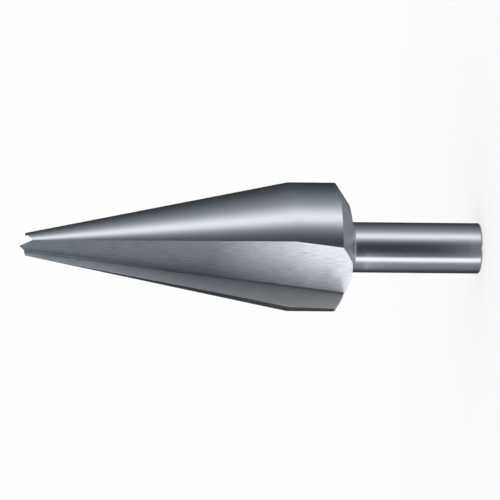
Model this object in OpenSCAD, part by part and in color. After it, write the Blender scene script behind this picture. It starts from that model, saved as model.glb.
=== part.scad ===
// Cone drill bit for opening up holes in sheet metal and tube, ground from one bar of high-speed steel.
// The axis is +Z with the point upwards, and the origin is the centre of the shank's end face.
// It cuts clockwise as seen from the shank. Lengths are in millimetres and angles in degrees.

/* [Cone and body] */
// Diameter across the two cutting edges on the cylindrical band
body_d = 20.5; // [18:0.5:24]
// Diameter at the front end of the cone, where the point begins
tip_d = 3.6; // [3:0.1:4.5]
// Length of the cone, from the point's corner back to the band
cone_len = 41.8; // [34:0.2:50]
// Length of the cylindrical band behind the cone
band_len = 7.4; // [4:0.1:12]
// Length of the rear chamfer, measured along the axis
rear_chamfer_len = 2.2; // [1:0.1:3]
// Diameter of the rear face that the chamfer ends on
rear_face_d = 13.9; // [11:0.1:15]
// Angle by which the rear face falls away towards the shank
rear_face_a = 13.5; // [5:0.5:20]

/* [Shank] */
// Diameter of the shank
shank_d = 8; // [6:0.5:10]
// Length of the shank, from its end face to the inner edge of the rear face
shank_len = 20.4; // [15:0.2:30]
// Chamfer round the end of the shank
shank_chamfer = 0.2; // [0.1:0.05:0.8]
// Radius in the corner between the shank and the rear face
neck_r = 0.3; // [0.2:0.05:0.6]

/* [Flutes] */
// Thickness of the web between the two flutes, at the front end of the cone
web_tip = 0.66; // [0.5:0.02:0.9]
// Thickness of the web between the two flutes, at the rear rim
web_rear = 10.84; // [9.5:0.02:11.4]
// Steel between the flute's root and the cone's surface, at the front end of the cone
skin_tip = 0.26; // [0.2:0.01:0.35]
// Angle between the flute's heel wall and the direction that the flute opens in
heel_wall_a = 32.5; // [30:0.5:36]
// Angle between the flute's rake wall and the direction that the flute opens in
rake_wall_a = 32; // [27:0.5:34]
// Radius in the flute's root
root_r = 0.2; // [0.1:0.05:0.3]

/* [Clearance behind the cutting edges] */
// How far a land's own centre lies off the axis, so that the land drops away behind its edge
land_offset = 0.2; // [0.05:0.05:0.4]
// Angle by which the direction of that offset leads the cutting edge
land_lead_a = 40; // [30:5:60]

/* [Point] */
// Included angle of the point
point_a = 118; // [100:1:140]
// Slope of the facet behind each lip
lip_relief_a = 16; // [8:1:20]
// Slope of the second and steeper facet, which thins the web
web_relief_a = 46; // [40:1:60]
// How far below the point the second facet starts
web_relief_drop = 0.08; // [0.02:0.02:0.2]

/* [Hidden] */
$fn = 128;

body_r = body_d / 2;
tip_r = tip_d / 2;
shank_r = shank_d / 2;
rear_face_r = rear_face_d / 2;

// Heights of the corners along the axis
face_z = shank_len + (rear_face_r - shank_r) * tan(rear_face_a);
rim_z = face_z + rear_chamfer_len;
shoulder_z = rim_z + band_len;
corner_z = shoulder_z + cone_len;
point_z = corner_z + tip_r / tan(point_a / 2);

// How far a cut runs past the steel, and a size that clears the whole bit
overrun = 3;
clear_size = 2 * point_z;

// How far the two lands reach into each other in the middle of the flutes
land_overlap = 0.1;

// The front flute opens towards -Y, with its rake wall on the -X side and its heel wall on the +X side.
// Its root runs in a plane beside the axis and moves outwards towards the rear. The heel wall stays
// half the web away from the axis, which gives the root's place at each end.
root_tip_r = tip_r - skin_tip;
root_y = cos(heel_wall_a) * sqrt(pow(root_tip_r, 2) - pow(web_tip / 2, 2)) - sin(heel_wall_a) * web_tip / 2;
root_tip_x = -root_x(web_tip);
root_rear_x = -root_x(web_rear);
root_slope_a = atan((root_tip_x - root_rear_x) / (corner_z - rim_z));

// Where the two walls of the front flute leave the body at the rim, as angles about the axis
rake_wall_dir = -90 - rake_wall_a;
heel_wall_dir = -90 + heel_wall_a;
edge_dir = exit_dir(root_rear_x, root_y, rake_wall_dir, body_r);
heel_dir = exit_dir(root_rear_x, root_y, heel_wall_dir, body_r);

// The rear land runs from the cutting edge opposite the front flute's edge to the front flute's heel
land_edge_dir = edge_dir + 180;
land_middle_dir = (land_edge_dir + heel_dir) / 2;
land_offset_dir = land_edge_dir + land_lead_a;

// Only the cutting edge has the full radius, so each land's own radius is a little smaller.
// The offset shrinks with the cone, which tilts the land's own axis slightly.
land_r = body_r - land_offset * cos(land_lead_a);
land_tip_offset = land_offset * tip_r / body_r;
land_tip_r = tip_r - land_tip_offset * cos(land_lead_a);
land_taper = (land_r - land_tip_r) / cone_len;
land_tilt_a = atan((land_offset - land_tip_offset) / cone_len);

// Distance of the flute's root from the YZ plane for a given web
function root_x(web) = (web / 2 + root_y * sin(heel_wall_a)) / cos(heel_wall_a);

// Distance from the point x, y to the circle of radius r, going in the direction dir
function distance_out(x, y, dir, r) =
    let (along = x * cos(dir) + y * sin(dir))
    sqrt(along * along - x * x - y * y + r * r) - along;

// Angle about the axis at which a wall that starts at x, y reaches the circle of radius r
function exit_dir(x, y, dir, r) =
    let (out = distance_out(x, y, dir, r))
    atan2(y + out * sin(dir), x + out * cos(dir));

// Point of a flute wall in the flute's own section, at an angle from the opening direction
function wall_point(a, out) = [out * sin(a), -out * cos(a)];

// A wall's angle in the section square to the inclined root
function ground_a(a) = atan(tan(a) * cos(root_slope_a));

// Cone and band of one land, about the land's own centre
module land_surface() {
    below_corner = corner_z - shank_len + overrun;
    intersection() {
        translate([land_tip_offset, 0, corner_z])
            rotate([0, -land_tilt_a, 0])
                translate([0, 0, -below_corner])
                    cylinder(
                        h = below_corner + overrun,
                        r1 = land_tip_r + land_taper * below_corner,
                        r2 = land_tip_r - land_taper * overrun
                    );
        translate([land_offset, 0, shank_len - overrun])
            cylinder(h = clear_size, r = land_r);
    }
}

// Rear chamfer and rear face, which bound everything above them
module rear_form() {
    chamfer_slope = (body_r - rear_face_r) / rear_chamfer_len;
    rotate_extrude()
        polygon([
            [0, shank_len - shank_r * tan(rear_face_a)],
            [rear_face_r, face_z],
            [rear_face_r + chamfer_slope * clear_size, face_z + clear_size],
            [0, face_z + clear_size]
        ]);
}

// One land, as far as the middle of both flutes
module land() {
    intersection() {
        rotate([0, 0, land_offset_dir])
            land_surface();
        rotate([0, 0, land_middle_dir])
            translate([-land_overlap, -clear_size / 2, 0])
                cube(clear_size);
    }
}

// Both lands with the rear form that they share
module body() {
    intersection() {
        for (turn = [0, 180])
            rotate([0, 0, turn])
                land();
        rear_form();
    }
}

// Section of a flute: two walls that meet in a small radius
module flute_section() {
    heel_a = ground_a(heel_wall_a);
    rake_a = ground_a(rake_wall_a);
    half_a = (heel_a + rake_a) / 2;
    tangent_out = root_r / tan(half_a);
    polygon([
        wall_point(heel_a, tangent_out),
        wall_point(heel_a, 2 * body_d),
        wall_point(-rake_a, 2 * body_d),
        wall_point(-rake_a, tangent_out)
    ]);
    translate(wall_point((heel_a - rake_a) / 2, root_r / sin(half_a)))
        circle(r = root_r);
}

// The front flute, straight along its inclined root and out through the rear chamfer
module flute() {
    behind_rim = rear_chamfer_len + overrun;
    before_rim = point_z - rim_z + overrun;
    translate([root_rear_x, root_y, rim_z])
        rotate([0, root_slope_a, 0])
            translate([0, 0, -behind_rim])
                linear_extrude(height = behind_rim + before_rim)
                    flute_section();
}

// Everything above a plane that falls by one slope along X and by another towards -Y
module above_facet(slope_x, slope_y, drop) {
    tilt_a = atan(norm([slope_x, slope_y]));
    translate([0, 0, point_z - drop])
        rotate([0, tilt_a, atan2(-slope_y, slope_x)])
            translate([-body_r, -body_r, 0])
                cube(body_d);
}

// Both facets behind one lip
module lip_facets() {
    above_facet(1 / tan(point_a / 2), tan(lip_relief_a), 0);
    above_facet(0, tan(web_relief_a), web_relief_drop);
}

// Shank with its end chamfer, and the radius that runs it into the rear face
module shank() {
    neck_z = shank_len + neck_r * tan(rear_face_a) - neck_r / cos(rear_face_a);
    neck_end = [
        shank_r + neck_r - neck_r * sin(rear_face_a),
        neck_z + neck_r * cos(rear_face_a)
    ];
    rotate_extrude()
        difference() {
            polygon([
                [0, 0],
                [shank_r - shank_chamfer, 0],
                [shank_r, shank_chamfer],
                [shank_r, neck_z],
                [shank_r + neck_r, neck_z],
                neck_end,
                [neck_end.x, rim_z],
                [0, rim_z]
            ]);
            translate([shank_r + neck_r, neck_z])
                circle(r = neck_r);
        }
}

// The whole bit: two lands on a shank, with two flutes and a four-facet point ground into them
module cone_drill() {
    color("#90969c")
        difference() {
            union() {
                body();
                shank();
            }
            for (turn = [0, 180])
                rotate([0, 0, turn]) {
                    flute();
                    lip_facets();
                }
        }
}

cone_drill();
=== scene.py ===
"""Cone drill bit, ground from one bar of high-speed steel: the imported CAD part, dressed for its
photograph. The bit stands on the end of its shank with its point up. The camera is rolled, so that up in
the world is left in the picture."""

import math

import bmesh
import bpy
import numpy as np
from mathutils import Matrix, Vector
from mathutils.geometry import delaunay_2d_cdt


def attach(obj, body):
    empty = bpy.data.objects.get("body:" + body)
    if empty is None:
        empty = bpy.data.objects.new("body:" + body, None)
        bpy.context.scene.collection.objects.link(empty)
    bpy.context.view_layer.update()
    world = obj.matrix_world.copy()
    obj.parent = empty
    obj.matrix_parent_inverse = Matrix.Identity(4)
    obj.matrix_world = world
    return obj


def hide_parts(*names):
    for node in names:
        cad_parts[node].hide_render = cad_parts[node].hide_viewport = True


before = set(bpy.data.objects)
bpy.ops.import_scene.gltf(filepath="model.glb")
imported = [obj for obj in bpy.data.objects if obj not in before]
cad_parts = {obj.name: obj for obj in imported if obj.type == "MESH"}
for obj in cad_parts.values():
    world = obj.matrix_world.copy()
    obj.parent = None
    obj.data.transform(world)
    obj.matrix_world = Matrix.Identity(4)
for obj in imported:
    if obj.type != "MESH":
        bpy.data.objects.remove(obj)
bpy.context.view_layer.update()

MM = 0.001

# Driving sizes of the bit, as in the CAD part
BODY_R = 10.25 * MM
TIP_R = 1.8 * MM
CONE_LEN = 41.8 * MM
BAND_LEN = 7.4 * MM
REAR_CHAMFER_LEN = 2.2 * MM
REAR_FACE_R = 6.95 * MM
REAR_FACE_A = math.radians(13.5)
SHANK_R = 4.0 * MM
SHANK_LEN = 20.4 * MM
SHANK_CHAMFER = 0.2 * MM
NECK_R = 0.3 * MM
WEB_TIP = 0.66 * MM
WEB_REAR = 10.84 * MM
SKIN_TIP = 0.26 * MM
HEEL_WALL_A = math.radians(32.5)
RAKE_WALL_A = math.radians(32.0)
ROOT_R = 0.2 * MM
LAND_OFFSET = 0.2 * MM
LAND_LEAD_A = math.radians(40.0)
POINT_A = math.radians(118.0)
LIP_RELIEF_A = math.radians(16.0)
WEB_RELIEF_A = math.radians(46.0)
WEB_RELIEF_DROP = 0.08 * MM

# Heights of the corners along the axis
FACE_Z = SHANK_LEN + (REAR_FACE_R - SHANK_R) * math.tan(REAR_FACE_A)
RIM_Z = FACE_Z + REAR_CHAMFER_LEN
SHOULDER_Z = RIM_Z + BAND_LEN
CORNER_Z = SHOULDER_Z + CONE_LEN
POINT_Z = CORNER_Z + TIP_R / math.tan(POINT_A / 2)
CHAMFER_SLOPE = (BODY_R - REAR_FACE_R) / REAR_CHAMFER_LEN

# Centre height of the neck radius, and where it meets the rear face
NECK_Z = SHANK_LEN + NECK_R * math.tan(REAR_FACE_A) - NECK_R / math.cos(REAR_FACE_A)
NECK_END_R = SHANK_R + NECK_R - NECK_R * math.sin(REAR_FACE_A)

# How the grinder left the long edges: how far each corner is broken, at the rear
HEEL_BREAK = 0.04 * MM
EDGE_BREAK = 0.02 * MM

# Share of that break that is left at the point
WEAR_AT_POINT = 0.35

# How finely the mesh follows the bit
LAND_STEPS = 64
HEEL_WALL_STEPS = 22
RAKE_WALL_STEPS = 12
ROOT_STEPS = 6
BREAK_STEPS = 4
CONE_ROWS = 44
BAND_ROWS = 7
RING_STEPS = 128

# How close the first mesh line runs to an edge, as a share of the wall or of the land
CLOSE_SHARE = 0.01
CLOSE_LAND_SHARE = 0.003

# Rows between the outline on the rear and the first level row, as shares of the way up
REAR_ROWS = (0, 0.06, 0.4, 1)

# Rows of the neck radius and the shank, and rings of its end face as shares of its radius
NECK_ROWS = 6
SHANK_ROWS = 12
END_RINGS = (0.75, 0.5, 0.25)

# Shares of the shank's chamfer: how far its two edges are broken, and where the rows beside it run
CHAMFER_BREAK = 0.08
CHAMFER_NEAR = 1.3

# Heights that the flutes are sampled between, where they run out through the rear
LOW_Z = SHANK_LEN - 0.5 * MM
HIGH_Z = RIM_Z + 1.5 * MM
LOW_SAMPLES = 33
HALVINGS = 50

# First level row above the rear, rows beside the shoulder, and how far the rows run past the point
FIRST_Z = RIM_Z + 1.0 * MM
SHOULDER_NEAR = 0.08 * MM
PAST_POINT = 0.6 * MM

# Rings of the rear face and its chamfer, and the room that they leave to the flutes
REAR_RADII = [NECK_END_R, 5.2 * MM, 6.0 * MM, REAR_FACE_R, 7.6 * MM, 8.5 * MM, 9.4 * MM]
REAR_ROOM = 0.12 * MM
ON_RING = 0.01 * MM

# Edges that turn more than this are sharp
SHARP_A = math.radians(24)

# Points nearer than this to a facet's plane lie on it, and points nearer to each other than this are one
ON_PLANE = 1e-8
WELD = 2e-7
FLAT_WELD_MM = 1e-6

# The triangulation's output type that keeps only what lies inside its outline
INSIDE = 1


def direction(angle):
    """Unit vector across the axis, at an angle from +X."""
    return np.array([math.cos(angle), math.sin(angle)])


def exit_point(start, angle, centre, radius):
    """Where a line from start, at an angle, leaves a circle."""
    way = direction(angle)
    rel = start - centre
    along = rel @ way
    return start + way * (math.sqrt(along * along - rel @ rel + radius * radius) - along)


# The front flute opens towards -Y, its rake wall on the -X side. Its root runs in a plane beside
# the axis.
RAKE_DIR = -math.pi / 2 - RAKE_WALL_A
HEEL_DIR = -math.pi / 2 + HEEL_WALL_A
root_tip_r = TIP_R - SKIN_TIP
ROOT_Y = math.cos(HEEL_WALL_A) * math.sqrt(root_tip_r**2 - (WEB_TIP / 2) ** 2)
ROOT_Y -= math.sin(HEEL_WALL_A) * WEB_TIP / 2


def root_x(web):
    """X of the front flute's root, for a thickness of the web."""
    return -(web / 2 + ROOT_Y * math.sin(HEEL_WALL_A)) / math.cos(HEEL_WALL_A)


ROOT_SLOPE = (root_x(WEB_TIP) - root_x(WEB_REAR)) / (CORNER_Z - RIM_Z)


def root_at(z):
    """Where the sharp root of the front flute lies at a height."""
    return np.array([root_x(WEB_REAR) + (z - RIM_Z) * ROOT_SLOPE, ROOT_Y])


rim_edge = exit_point(root_at(RIM_Z), RAKE_DIR, np.zeros(2), BODY_R)
EDGE_DIR = math.atan2(rim_edge[1], rim_edge[0]) + math.pi
OFFSET_WAY = direction(EDGE_DIR + LAND_LEAD_A)
LAND_R = BODY_R - LAND_OFFSET * math.cos(LAND_LEAD_A)
LAND_TIP_OFFSET = LAND_OFFSET * TIP_R / BODY_R
LAND_TIP_R = TIP_R - LAND_TIP_OFFSET * math.cos(LAND_LEAD_A)


def down_cone(z):
    """0 at the cone's front end and 1 from the shoulder down; it goes below 0 above the cone."""
    return min((CORNER_Z - z) / CONE_LEN, 1.0)


def land_circle(z):
    """Centre and radius of the land's own circle at a height."""
    down = down_cone(z)
    offset = LAND_TIP_OFFSET + down * (LAND_OFFSET - LAND_TIP_OFFSET)
    return OFFSET_WAY * offset, LAND_TIP_R + down * (LAND_R - LAND_TIP_R)


def arc(centre, radius, start, end, shares):
    """Points on a circle at the given shares of the way between two angles."""
    turn = start + (end - start) * np.asarray(shares)
    return centre + radius * np.stack([np.cos(turn), np.sin(turn)], 1)


def even(steps, start_gap=0.0, end_gap=0.0):
    """Even shares from 0 to 1, with a close neighbour for the first or the last where a gap is given."""
    first = [0, start_gap] if start_gap else [0]
    last = [1 - end_gap, 1] if end_gap else [1]
    between = steps + 1 - len(first) - len(last)
    return np.concatenate([first, np.linspace(0, 1, between + 2)[1:-1], last])


def line(start, end, shares):
    """Points at the given shares of the way between two points."""
    return start + (end - start) * np.asarray(shares)[:, None]


def rounded_corner(before, corner, after, reach):
    """Points that round a corner, from reach before it to reach after it."""
    start = corner + (before - corner) / np.linalg.norm(before - corner) * reach
    end = corner + (after - corner) / np.linalg.norm(after - corner) * reach
    steps = np.linspace(0, 1, BREAK_STEPS + 1)[:, None]
    return (1 - steps) ** 2 * start + 2 * steps * (1 - steps) * corner + steps**2 * end


def half_section(z, heel_shares):
    """Half of the outline at a height, anticlockwise: the rear land, then the back flute."""
    root = root_at(z)
    centre, radius = land_circle(z)
    heel = exit_point(root, HEEL_DIR, centre, radius)
    edge = exit_point(-root, RAKE_DIR + math.pi, centre, radius)
    heel_a = math.atan2(*(heel - centre)[::-1])
    edge_a = math.atan2(*(edge - centre)[::-1])
    wear = WEAR_AT_POINT + (1 - WEAR_AT_POINT) * max(down_cone(z), 0.0)
    heel_reach, edge_reach = HEEL_BREAK * wear, EDGE_BREAK * wear
    land_shares = even(LAND_STEPS, CLOSE_LAND_SHARE, CLOSE_LAND_SHARE)
    land = arc(centre, radius, heel_a + heel_reach / radius, edge_a - edge_reach / radius, land_shares)

    half_a = (HEEL_WALL_A + RAKE_WALL_A) / 2
    root_centre = -root + direction(RAKE_DIR + math.pi + half_a) * ROOT_R / math.sin(half_a)
    root_arc = arc(root_centre, ROOT_R, RAKE_DIR + math.pi / 2, HEEL_DIR - math.pi / 2, even(ROOT_STEPS))

    heel_corner = rounded_corner(root, heel, land[0], heel_reach)
    edge_corner = rounded_corner(land[-1], edge, -root, edge_reach)
    rake = line(edge_corner[-1], root_arc[0], even(RAKE_WALL_STEPS, CLOSE_SHARE))
    wall = line(root_arc[-1], -heel_corner[0], heel_shares)
    stretches = [heel_corner, land, edge_corner, rake, root_arc, wall]
    return np.concatenate([s[:-1] for s in stretches])


def heel_wall_shares():
    """Where the mesh lines run on a heel wall. Two of them end where the wall leaves the rear face."""
    shares = even(HEEL_WALL_STEPS, 0, CLOSE_SHARE)
    half = half_section(FACE_Z, shares)
    start, end = half[-HEEL_WALL_STEPS], -half[0]
    way = (end - start) / np.linalg.norm(end - start)
    middle = -(start @ way)
    nearest = np.linalg.norm(start + way * middle)
    reach = math.sqrt(REAR_FACE_R**2 - nearest**2)
    for out in (middle - reach, middle + reach):
        share = out / np.linalg.norm(end - start)
        shares[np.abs(shares - share).argmin()] = share
    return shares


def rear_height(radius):
    """Height of the rear face, or of the chamfer outside it, at a distance from the axis."""
    face = SHANK_LEN + (radius - SHANK_R) * math.tan(REAR_FACE_A)
    return np.where(radius < REAR_FACE_R, face, FACE_Z + (radius - REAR_FACE_R) / CHAMFER_SLOPE)


def section(z, heel_shares):
    """The whole outline at a height."""
    half = half_section(z, heel_shares)
    return np.concatenate([half, -half])


def side_points():
    """Rows of points up the fluted body, each a closed outline. The lowest lies on the rear face
    and its chamfer."""
    shares = heel_wall_shares()
    heights = np.linspace(LOW_Z, HIGH_Z, LOW_SAMPLES)
    stack = np.array([section(z, shares) for z in heights])

    def at(z):
        """Where each line of the outline passes a height of its own."""
        place = (z - LOW_Z) / (heights[1] - heights[0])
        index = np.clip(place.astype(int), 0, len(heights) - 2)
        part = (place - index)[:, None]
        each = np.arange(len(z))
        return stack[index, each] * (1 - part) + stack[index + 1, each] * part

    low = np.full(stack.shape[1], LOW_Z)
    high = np.full(stack.shape[1], HIGH_Z)
    for _ in range(HALVINGS):
        bottom = (low + high) / 2
        outside = bottom < rear_height(np.linalg.norm(at(bottom), axis=1))
        low = np.where(outside, bottom, low)
        high = np.where(outside, high, bottom)

    rows = []
    for share in REAR_ROWS:
        z = bottom + (FIRST_Z - bottom) * share
        rows.append(np.column_stack([at(z), z]))
    band = np.linspace(FIRST_Z, SHOULDER_Z - SHOULDER_NEAR, BAND_ROWS)[1:]
    cone = np.linspace(SHOULDER_Z + SHOULDER_NEAR, POINT_Z + PAST_POINT, CONE_ROWS)
    for z in [*band, SHOULDER_Z, *cone]:
        outline = section(z, shares)
        rows.append(np.column_stack([outline, np.full(len(outline), z)]))
    return rows


def add_rows(bm, rows, material_of):
    """Joins rows of points, each a closed ring, into a wall of faces. Returns the rings of vertices."""
    rings = [[bm.verts.new(p) for p in row] for row in rows]
    for lower, upper in zip(rings, rings[1:]):
        for i in range(len(lower)):
            j = (i + 1) % len(lower)
            face = bm.faces.new((lower[i], lower[j], upper[j], upper[i]))
            face.material_index = material_of(i)
    return rings


# Material slots
GROUND, HEEL, RAKE, ROOT, REAR, POINT, SHANK = range(7)

# Where the stretches of a half outline start, in steps from the heel
FLUTE_START = BREAK_STEPS + LAND_STEPS + BREAK_STEPS
ROOT_START = FLUTE_START + RAKE_WALL_STEPS
WALL_START = ROOT_START + ROOT_STEPS
HALF_STEPS = WALL_START + HEEL_WALL_STEPS


def side_material(index):
    """Material slot of one step round the outline."""
    step = index % HALF_STEPS
    if step < FLUTE_START:
        return GROUND
    if step < WALL_START:
        return RAKE if step < ROOT_START else ROOT
    return HEEL


def cut_point(bm):
    """Grinds the four facets of the point: everything above each plane goes, and the cut is closed."""
    tip_slope = 1 / math.tan(POINT_A / 2)
    lip_slope = math.tan(LIP_RELIEF_A)
    web_slope = math.tan(WEB_RELIEF_A)
    planes = [
        (tip_slope, -lip_slope, POINT_Z),
        (-tip_slope, lip_slope, POINT_Z),
        (0, -web_slope, POINT_Z - WEB_RELIEF_DROP),
        (0, web_slope, POINT_Z - WEB_RELIEF_DROP),
    ]
    for slope_x, slope_y, z in planes:
        cut = bmesh.ops.bisect_plane(
            bm,
            geom=bm.verts[:] + bm.edges[:] + bm.faces[:],
            plane_co=(0, 0, z),
            plane_no=(slope_x, slope_y, 1),
            clear_outer=True,
            dist=ON_PLANE,
        )
        edges = [e for e in cut["geom_cut"] if isinstance(e, bmesh.types.BMEdge) and e.is_boundary]
        for face in bmesh.ops.holes_fill(bm, edges=edges, sides=0)["faces"]:
            face.material_index = POINT


def add_rear(bm, loop):
    """The rear face and its chamfer, between the fluted outline and the neck of the shank."""
    flat = [tuple(p[:2]) for p in loop]
    edges = [(i, (i + 1) % len(flat)) for i in range(len(flat))]
    outline = np.array(flat)

    def clear(point):
        """Whether a point lies inside the outline, with some room."""
        start, end = outline, np.roll(outline, -1, axis=0)
        way = end - start
        share = np.clip(((point - start) * way).sum(1) / (way * way).sum(1), 0, 1)
        gap = np.linalg.norm(start + way * share[:, None] - point, axis=1).min()
        crosses = (start[:, 1] > point[1]) != (end[:, 1] > point[1])
        rise = np.where(way[:, 1] == 0, 1, way[:, 1])
        left = point[0] < start[:, 0] + way[:, 0] * (point[1] - start[:, 1]) / rise
        return (crosses & left).sum() % 2 == 1 and gap > REAR_ROOM

    for radius in REAR_RADII:
        ring = []
        for i in range(RING_STEPS):
            point = direction(2 * math.pi * i / RING_STEPS) * radius
            if clear(point):
                ring.append(len(flat))
                flat.append(tuple(point))
            else:
                ring.append(None)
        # These two rings are edges of the bit. They are joined up, and run on to the outline where it
        # cuts them.
        if radius in (NECK_END_R, REAR_FACE_R):
            for a, b in zip(ring, ring[1:] + ring[:1]):
                if a is not None and b is not None:
                    edges.append((a, b))
                elif a is not None or b is not None:
                    end = a if a is not None else b
                    gaps = np.linalg.norm(outline - np.array(flat[end]), axis=1)
                    off = np.abs(np.linalg.norm(outline, axis=1) - REAR_FACE_R)
                    gaps[off > ON_RING] = np.inf
                    edges.append((end, int(gaps.argmin())))
    scaled = [Vector((x / MM, y / MM)) for x, y in flat]
    verts, _, faces, *_ = delaunay_2d_cdt(scaled, edges, [], INSIDE, FLAT_WELD_MM)
    made = []
    for v in verts:
        place = v * MM
        made.append(bm.verts.new((place.x, place.y, float(rear_height(place.length)))))
    for face in faces:
        centre = sum((verts[i] for i in face), Vector((0, 0))) / len(face)
        if centre.length * MM > NECK_END_R:
            bm.faces.new([made[i] for i in face]).material_index = REAR
    for v in made:
        if not v.link_faces:
            bm.verts.remove(v)


def add_shank(bm):
    """The shank, from the neck radius under the rear face down to its end face."""
    profile = []
    for turn in np.linspace(math.pi / 2 + REAR_FACE_A, math.pi, NECK_ROWS):
        profile.append((SHANK_R + NECK_R + NECK_R * math.cos(turn), NECK_Z + NECK_R * math.sin(turn)))
    near = SHANK_CHAMFER * CHAMFER_NEAR
    short, long = SHANK_CHAMFER * CHAMFER_BREAK, SHANK_CHAMFER * (1 - CHAMFER_BREAK)
    for z in np.linspace(NECK_Z, near, SHANK_ROWS)[1:]:
        profile.append((SHANK_R, z))
    profile += [(SHANK_R - short, long), (SHANK_R - long, short), (SHANK_R - near, 0)]
    for share in END_RINGS:
        profile.append((SHANK_R * share, 0))
    turns = [2 * math.pi * i / RING_STEPS for i in range(RING_STEPS)]
    rows = [[(r * math.cos(t), r * math.sin(t), z) for t in turns] for r, z in profile]
    rings = add_rows(bm, rows, lambda i: SHANK)
    bm.faces.new(rings[-1]).material_index = SHANK


def build_bit(materials):
    """The whole bit as one closed mesh."""
    bm = bmesh.new()
    rows = side_points()
    rings = add_rows(bm, rows, side_material)
    bm.faces.new(rings[-1]).material_index = POINT
    cut_point(bm)
    add_rear(bm, rows[0])
    add_shank(bm)
    bmesh.ops.remove_doubles(bm, verts=bm.verts[:], dist=WELD)
    bmesh.ops.recalc_face_normals(bm, faces=bm.faces[:])
    for face in bm.faces:
        face.smooth = True
    for edge in bm.edges:
        edge.smooth = edge.calc_face_angle(0) < SHARP_A
    mesh = bpy.data.meshes.new("cone_drill_bit")
    bm.to_mesh(mesh)
    bm.free()
    for material in materials:
        mesh.materials.append(material)
    bit = bpy.data.objects.new("cone_drill_bit", mesh)
    bpy.context.scene.collection.objects.link(bit)
    return bit


def new_material(name):
    """A material with its nodes and links."""
    material = bpy.data.materials.new(name)
    material.use_nodes = True
    return material, material.node_tree.nodes, material.node_tree.links


# The noise that makes grinding marks, and the span of its values that the marks use
GRAIN_DETAIL = 4
GRAIN_ROUGHNESS = 0.6
GRAIN_SPAN = (0.3, 0.7)


def noise(nodes, links, vector, size):
    """A noise texture, with the size of its marks in mm along X, Y and Z."""
    scale = nodes.new("ShaderNodeMapping")
    scale.inputs["Scale"].default_value = [1 / (length * MM) for length in size]
    links.new(vector, scale.inputs["Vector"])
    texture = nodes.new("ShaderNodeTexNoise")
    texture.inputs["Scale"].default_value = 1
    texture.inputs["Detail"].default_value = GRAIN_DETAIL
    texture.inputs["Roughness"].default_value = GRAIN_ROUGHNESS
    links.new(scale.outputs["Vector"], texture.inputs["Vector"])
    return texture.outputs["Fac"]


def remap(nodes, links, value, source, target):
    """Stretches a value from one span to another."""
    node = nodes.new("ShaderNodeMapRange")
    for name, number in zip(("From Min", "From Max", "To Min", "To Max"), (*source, *target)):
        node.inputs[name].default_value = number
    links.new(value, node.inputs["Value"])
    return node.outputs["Result"]


def math_node(nodes, links, operation, first, second):
    """A Math node on two values, of which the second may be a plain number."""
    node = nodes.new("ShaderNodeMath")
    node.operation = operation
    links.new(first, node.inputs[0])
    if isinstance(second, (int, float)):
        node.inputs[1].default_value = second
    else:
        links.new(second, node.inputs[1])
    return node.outputs[0]


def blend(nodes, links, share, first, second):
    """A Mix Shader from the first surface to the second."""
    node = nodes.new("ShaderNodeMixShader")
    for socket, value in zip(node.inputs, (share, first, second)):
        links.new(value, socket)
    return node.outputs[0]


def steel(name, color, rough, marks, depth, streaks=0.0, rear=None, span=None, metallic=1.0):
    """Bare steel. Rough is the span of its roughness and marks the size of its grinding marks in mm.
    Depth is their depth in mm, and streaks is how much they vary the colour. Rear is a colour that the
    base colour turns into towards the rear end, over the heights in span, in mm: painted light and shade,
    not a change in the steel itself. Metallic is lower where the steel scatters light."""
    material, nodes, links = new_material(name)
    shader = nodes["Principled BSDF"]
    shader.inputs["Base Color"].default_value = (*color, 1)
    shader.inputs["Metallic"].default_value = metallic
    place = nodes.new("ShaderNodeTexCoord").outputs["Object"]
    grain = noise(nodes, links, place, marks)
    links.new(remap(nodes, links, grain, GRAIN_SPAN, rough), shader.inputs["Roughness"])
    relief = nodes.new("ShaderNodeBump")
    relief.inputs["Strength"].default_value = 1
    relief.inputs["Distance"].default_value = depth * MM
    links.new(grain, relief.inputs["Height"])
    links.new(relief.outputs["Normal"], shader.inputs["Normal"])
    if streaks:
        tone = nodes.new("ShaderNodeMix")
        tone.data_type = "RGBA"
        tone.blend_type = "MULTIPLY"
        tone.inputs["Factor"].default_value = 1
        tone.inputs["A"].default_value = (*color, 1)
        level = remap(nodes, links, grain, GRAIN_SPAN, (1 - streaks, 1 + streaks))
        links.new(level, tone.inputs["B"])
        # Painted light and shade: the base colour shifts with height towards the rear colour.
        if rear:
            parts = nodes.new("ShaderNodeSeparateXYZ")
            links.new(place, parts.inputs[0])
            back = nodes.new("ShaderNodeMix")
            back.data_type = "RGBA"
            back.inputs["A"].default_value = (*color, 1)
            back.inputs["B"].default_value = (*rear, 1)
            share = remap(nodes, links, parts.outputs["Z"], (span[0] * MM, span[1] * MM), (0, 1))
            links.new(share, back.inputs["Factor"])
            links.new(back.outputs["Result"], tone.inputs["A"])
        links.new(tone.outputs["Result"], shader.inputs["Base Color"])
    return material


# The steel's own colour, and the sizes of grinding marks in mm along X, Y and Z
STEEL = (0.555, 0.575, 0.6)
WALL_MARKS = (0.08, 1000, 2.0)
TURNING_MARKS = (1.5, 1.5, 0.08)

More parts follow.
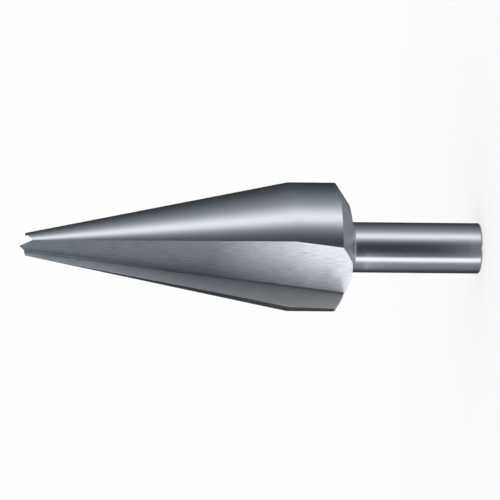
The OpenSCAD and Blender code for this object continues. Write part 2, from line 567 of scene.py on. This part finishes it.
# One steel for each material slot, in the order of GROUND to SHANK
materials = [
    steel("ground_steel", STEEL, (0.17, 0.23), TURNING_MARKS, 0.0005),
    # Heel walls: dark towards the point and light towards the shank, which is painted light and shade.
    steel(
        "heel_steel", (0.28, 0.305, 0.35), (0.45, 0.6), WALL_MARKS, 0.01,
        streaks=0.3, rear=(0.8, 0.82, 0.87), span=(43, 27), metallic=0.6,
    ),
    # Rake walls: light towards the point and dark towards the shank, which is painted light and shade.
    steel(
        "rake_steel", (0.72, 0.74, 0.78), (0.45, 0.6), WALL_MARKS, 0.01,
        streaks=0.15, rear=(0.37, 0.38, 0.38), span=(62, 32), metallic=0.7,
    ),
    # Flute roots: darker towards the shank, which is painted shade in the flute's crease.
    steel(
        "root_steel", (0.62, 0.64, 0.67), (0.4, 0.5), (0.3, 0.3, 3.0), 0.001,
        streaks=0.1, rear=(0.32, 0.34, 0.37), span=(64, 50),
    ),
    steel("turned_steel", STEEL, (0.3, 0.4), (0.3, 0.3, 0.3), 0.001),
    steel("point_steel", STEEL, (0.12, 0.18), (0.1, 1.0, 0.1), 0.0005),
    steel("shank_steel", STEEL, (0.13, 0.17), TURNING_MARKS, 0.0003),
]
bit = build_bit(materials)
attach(bit, "root")
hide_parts("cone_drill")

# Floor. Its material whitens a part of the shadow for the rays that show it, and is clear from below.
# Glossy rays don't see it, because its edge bent the bands near the shank's end.
FLOOR_R = 6
FLOOR_Z = -0.00005
FLOOR_COLOR = (0.95, 0.95, 0.95, 1)
FLOOR_ROUGHNESS = 0.9
FLOOR_WHITENING = 0.55

bpy.ops.mesh.primitive_circle_add(vertices=96, radius=FLOOR_R, fill_type="NGON", location=(0, 0, FLOOR_Z))
floor = bpy.context.object
floor.name = "floor"
floor.visible_glossy = False
material, nodes, links = new_material("pale_floor")
nodes["Principled BSDF"].inputs["Base Color"].default_value = FLOOR_COLOR
nodes["Principled BSDF"].inputs["Roughness"].default_value = FLOOR_ROUGHNESS
light_path = nodes.new("ShaderNodeLightPath")
seen = light_path.outputs["Is Camera Ray"]
for ray in ("Is Glossy Ray", "Is Transmission Ray"):
    seen = math_node(nodes, links, "ADD", seen, light_path.outputs[ray])
lift = math_node(nodes, links, "MULTIPLY", seen, FLOOR_WHITENING)
white = nodes.new("ShaderNodeEmission").outputs[0]
lifted = blend(nodes, links, lift, nodes["Principled BSDF"].outputs[0], white)
below = nodes.new("ShaderNodeNewGeometry").outputs["Backfacing"]
clear = nodes.new("ShaderNodeBsdfTransparent").outputs[0]
links.new(blend(nodes, links, below, lifted, clear), nodes["Material Output"].inputs[0])
floor.data.materials.append(material)

# Studio cards round the bit, which only the steel's reflections see. Each pair of a tent is a direction
# about the axis, in degrees from the camera's side towards +X, and how bright the card is there.
UNDER_TENT = [
    (-180, 0.32), (-120, 0.32), (-85, 0.5), (-62, 1.0), (-45, 1.0), (-28, 0.35), (0, 0.2), (20, 0.25),
    (40, 0.8), (60, 0.9), (78, 0.5), (120, 0.32), (180, 0.32),
]
END_TENT = [
    (-180, 0.05), (-130, 0.08), (-105, 0.27), (-80, 0.37), (-68, 0.7), (-62, 1.65), (-49, 1.65), (-43, 0.5),
    (-36, 0.35), (-15, 0.28), (14, 0.28), (30, 0.5), (40, 0.9), (46, 1.35), (58, 1.35), (66, 0.9),
    (80, 0.46), (95, 0.3), (120, 0.14), (150, 0.06), (180, 0.05),
]
LOW_TENT = [
    (-180, 0.05), (-130, 0.08), (-105, 0.27), (-80, 0.37), (-68, 0.7), (-62, 1.65), (-49, 1.65),
    (-43, 0.35), (-36, 0.2), (-15, 0.07), (0, 0.07), (14, 0.1), (22, 0.2), (30, 0.4), (40, 0.9),
    (46, 1.35), (58, 1.35), (66, 0.9), (80, 0.46), (95, 0.3), (120, 0.14), (150, 0.06), (180, 0.05),
]
BAND_TENT = [
    (-180, 0.05), (-130, 0.05), (-120, 0.25), (-108, 1.2), (-98, 1.8), (-50, 1.8), (-36, 1.4), (-20, 0.3),
    (0, 0.07), (10, 0.09), (20, 0.18), (30, 0.35), (40, 0.9), (46, 1.45), (56, 1.45), (66, 0.9), (80, 0.46),
    (95, 0.28), (120, 0.12), (150, 0.05), (180, 0.05),
]
CONE_TENT = [
    (-180, 0.05), (-128, 0.05), (-114, 0.12), (-102, 0.2), (-80, 0.3), (-66, 1.2), (-40, 1.2), (-28, 0.4),
    (-15, 0.1), (0, 0.07), (10, 0.09), (20, 0.18), (30, 0.35), (40, 0.9), (46, 1.45), (56, 1.45), (66, 0.9),
    (80, 0.46), (95, 0.28), (120, 0.12), (150, 0.05), (180, 0.05),
]

# These two cards glow by height, in mm, and fade out by direction
RISE_TENT = [(9, 1.8), (30, 1.8), (46, 0.35), (90, 0.25)]
RISE_FADE = [(-127, 0), (-106, 1), (-70, 1), (-40, 0)]
HEEL_CARD = [(17, 2.0), (32, 2.0), (37, 1.0), (43, 0.3), (50, 0.12), (75, 0.12)]
HEEL_FADE = [(-122, 0), (-108, 1), (-88, 1), (-66, 0)]

# The brightest level on any card, the tint of dark levels, and the level at which it has faded away
BRIGHTEST = 2.0
DARK_TINT = (0.9, 1.0, 1.12)
UNTINTED = 1.2

TENT_R = 90
ROUND = (-180, 180)
CARD_STEP = 3


def tone_ramp(nodes, links, value, stops, low, high, brightest=1.0):
    """A colour ramp over a value that runs from low to high. Dark levels are a little blue."""
    ramp = nodes.new("ShaderNodeValToRGB")
    links.new(remap(nodes, links, value, (low, high), (0, 1)), ramp.inputs["Fac"])
    points = ramp.color_ramp.elements
    points.remove(points[1])
    for i, (at, level) in enumerate(stops):
        point = points[0] if i == 0 else points.new(1)
        point.position = (at - low) / (high - low)
        dark = max(1 - level / UNTINTED, 0)
        point.color = [level / brightest * (1 + dark * (tint - 1)) for tint in DARK_TINT] + [1]
    return ramp.outputs["Color"]


def card(name, rings, span, stops, along_z=False, fade=None):
    """A stage object swept about the axis through rings of radius and height, in mm, over a span of
    directions. It glows by direction or by height, and fade is how solid it is in each direction."""
    bm = bmesh.new()
    start, end = span
    steps = int((end - start) / CARD_STEP)
    rows = []
    for radius, z in rings:
        row = []
        for i in range(steps + 1):
            way = math.radians(start + (end - start) * i / steps)
            place = (radius * MM * math.sin(way), -radius * MM * math.cos(way), z * MM)
            row.append(bm.verts.new(place))
        rows.append(row)
    for lower, upper in zip(rows, rows[1:]):
        for i in range(steps):
            bm.faces.new((lower[i], lower[i + 1], upper[i + 1], upper[i]))
    mesh = bpy.data.meshes.new(name)
    bm.to_mesh(mesh)
    bm.free()
    material, nodes, links = new_material(name)
    nodes.remove(nodes["Principled BSDF"])
    parts = nodes.new("ShaderNodeSeparateXYZ")
    links.new(nodes.new("ShaderNodeTexCoord").outputs["Object"], parts.inputs[0])
    forward = math_node(nodes, links, "MULTIPLY", parts.outputs["Y"], -1)
    turn = math_node(nodes, links, "ARCTAN2", parts.outputs["X"], forward)
    degrees = remap(nodes, links, turn, (-math.pi, math.pi), ROUND)
    height = remap(nodes, links, parts.outputs["Z"], (0, MM), (0, 1))
    height.node.clamp = False
    glow = nodes.new("ShaderNodeEmission")
    glow.inputs["Strength"].default_value = BRIGHTEST
    value = height if along_z else degrees
    color = tone_ramp(nodes, links, value, stops, stops[0][0], stops[-1][0], BRIGHTEST)
    links.new(color, glow.inputs["Color"])
    surface = glow.outputs[0]
    if fade:
        solid = tone_ramp(nodes, links, degrees, fade, start, end)
        clear = nodes.new("ShaderNodeBsdfTransparent").outputs[0]
        surface = blend(nodes, links, solid, clear, surface)
    links.new(surface, nodes["Material Output"].inputs[0])
    material.cycles.emission_sampling = "NONE"
    mesh.materials.append(material)
    made = bpy.data.objects.new(name, mesh)
    bpy.context.scene.collection.objects.link(made)
    made.visible_camera = False
    made.visible_diffuse = False
    made.visible_transmission = False
    made.visible_volume_scatter = False
    made.visible_shadow = False


def tent(name, low, high, stops):
    """A card all the way round the axis, between two heights in mm."""
    card(name, [(TENT_R, low), (TENT_R, high)], ROUND, stops)


def disc(name, radius, z, level):
    """A level card of one brightness, across the axis at a height. Sizes are in mm."""
    card(name, [(1, z), (radius, z)], ROUND, [(ROUND[0], level), (ROUND[1], level)])


disc("under_card", TENT_R, -240, 0.32)
tent("under_tent", -240, -32, UNDER_TENT)
disc("end_card", 40, -230, 1.3)
tent("end_tent", -32, -9, END_TENT)
tent("low_tent", -9, 9, LOW_TENT)
tent("band_tent", 9, 42, BAND_TENT)
tent("cone_tent", 42, 260, CONE_TENT)
card("rise_tent", [(86, 9), (86, 90)], (-127, -40), RISE_TENT, along_z=True, fade=RISE_FADE)
card("heel_card", [(40, 17), (40, 75)], (-122, -66), HEEL_CARD, along_z=True, fade=HEEL_FADE)
disc("top_card", 50, 200, 1.8)

# World: plain white light
WORLD_STRENGTH = 1.05

world = bpy.data.worlds.new("studio")
bpy.context.scene.world = world
world.use_nodes = True
world.node_tree.nodes["Background"].inputs["Color"].default_value = (1, 1, 1, 1)
world.node_tree.nodes["Background"].inputs["Strength"].default_value = WORLD_STRENGTH

# Camera: it looks along +Y from a little above, rolled by a quarter turn, with up in the world to the left
CAMERA_LIFT = math.radians(7.946)
CAMERA_ROLL = math.radians(0.528)
CAMERA_DISTANCE = 3.075
FRAME_WIDTH = 0.07913
AIM_Z = 36.9 * MM
AIM_RIGHT = 0.2513 * MM
AIM_UP = -0.5862 * MM
SENSOR_MM = 36
CLIP_NEAR = 0.1
CLIP_FAR = 30

right = Vector((0, -math.sin(CAMERA_LIFT), -math.cos(CAMERA_LIFT)))
up = Vector((1, 0, 0))
back = right.cross(up)
rolled_right = right * math.cos(CAMERA_ROLL) + up * math.sin(CAMERA_ROLL)
rolled_up = up * math.cos(CAMERA_ROLL) - right * math.sin(CAMERA_ROLL)
aim = Vector((0, 0, AIM_Z)) + rolled_right * AIM_RIGHT + rolled_up * AIM_UP
camera_data = bpy.data.cameras.new("camera")
camera_data.sensor_width = SENSOR_MM
camera_data.lens = SENSOR_MM * CAMERA_DISTANCE / FRAME_WIDTH
camera_data.clip_start = CLIP_NEAR
camera_data.clip_end = CLIP_FAR
camera = bpy.data.objects.new("camera", camera_data)
bpy.context.scene.collection.objects.link(camera)
turn = Matrix((rolled_right, rolled_up, back)).transposed()
camera.matrix_world = Matrix.Translation(aim + back * CAMERA_DISTANCE) @ turn.to_4x4()
bpy.context.scene.camera = camera
bpy.context.scene.view_settings.view_transform = "Standard"
